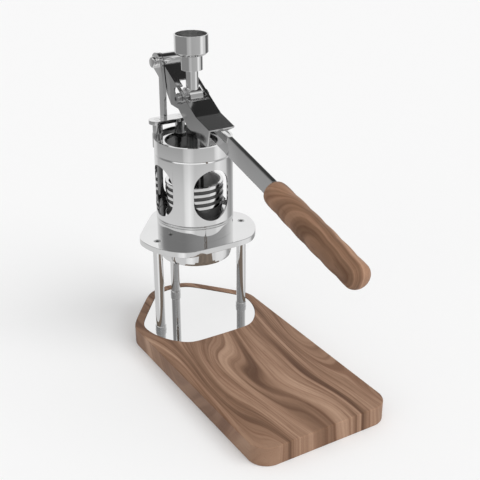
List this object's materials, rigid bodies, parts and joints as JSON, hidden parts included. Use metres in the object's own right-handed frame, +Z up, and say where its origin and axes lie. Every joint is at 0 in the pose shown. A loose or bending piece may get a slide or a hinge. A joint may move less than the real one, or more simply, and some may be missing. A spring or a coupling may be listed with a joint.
{
  "type": "portable espresso machine",
  "caption": "Portable hand lever espresso maker: a brew cylinder on slim legs over a walnut board, with a pivoted lever that drives a piston topped by a small cup.",
  "frame": {"origin": "on the table plane, straight below the axis of the brew cylinder, which is the middle of the circle the legs stand on", "axes": "+Z up along the brew cylinder, -Y towards the user's end of the board, where the handle points, +X to the right of a user who stands at the board's front end and faces the machine; the board lies along Y"},
  "size_m": [0.1462, 0.3536, 0.3275],
  "materials": {
    "walnut": "oiled walnut with flowing grain, satin",
    "mirror_steel": "polished stainless steel",
    "dark_steel": "darker polished steel sheet",
    "bare_steel": "turned stainless steel",
    "black_screws": "blackened steel",
    "black_chamber": "glossy black",
    "seal_rubber": "food grade silicone, matt",
    "bronze": "sintered bronze"
  },
  "bodies": {
    "frame": {"base_board": "walnut", "base_plate": "mirror_steel", "base_screws": "black_screws", "leg_left": "mirror_steel", "leg_right": "mirror_steel", "leg_rear": "mirror_steel", "platform": "mirror_steel", "platform_screws": "bare_steel", "brew_head": "mirror_steel", "head_gasket": "seal_rubber", "dispersion_screen": "bare_steel", "brew_chamber": "black_chamber", "chamber_seal": "seal_rubber", "shell": "mirror_steel", "top_ring": "mirror_steel", "post_left": "mirror_steel", "post_right": "mirror_steel", "post_rear": "mirror_steel", "post_screws": "black_screws", "bridge_plate": "mirror_steel", "upright_left": "mirror_steel", "upright_right": "mirror_steel", "pivot_pin": "bare_steel", "pivot_caps": "mirror_steel"},
    "lever": {"lever_channel": "dark_steel", "lever_hub": "mirror_steel", "pivot_bushes": "bronze", "lever_bar": "mirror_steel", "handle_grip": "walnut"},
    "piston": {"crosshead": "mirror_steel", "cross_pin": "bare_steel", "pin_washers": "bare_steel", "pin_nut": "bare_steel", "piston_rod": "bare_steel", "piston_head": "black_chamber", "piston_seals": "seal_rubber", "gauge_cup": "mirror_steel", "cup_collar": "mirror_steel"},
    "holder": {"filter_holder": "mirror_steel", "filter_basket": "bare_steel"}
  },
  "joints": [
    {"name": "lever_pivot", "type": "hinge", "parent": "frame", "child": "lever", "pos_m": [0, 0.042, 0.293], "axis": [-1, 0, 0], "range_deg": [0, 66]},
    {"name": "piston_slide", "type": "slide", "parent": "frame", "child": "piston", "axis": [0, 0, 1], "range_m": [0, 0.055]},
    {"name": "holder_twist", "type": "hinge", "parent": "frame", "child": "holder", "pos_m": [0, 0, 0.1], "axis": [0, 0, 1], "range_deg": [0, 60]}
  ],
  "couplings": [
    {"joint": "piston_slide", "follows": "lever_pivot", "m_per_rad": 0.0476}
  ]
}
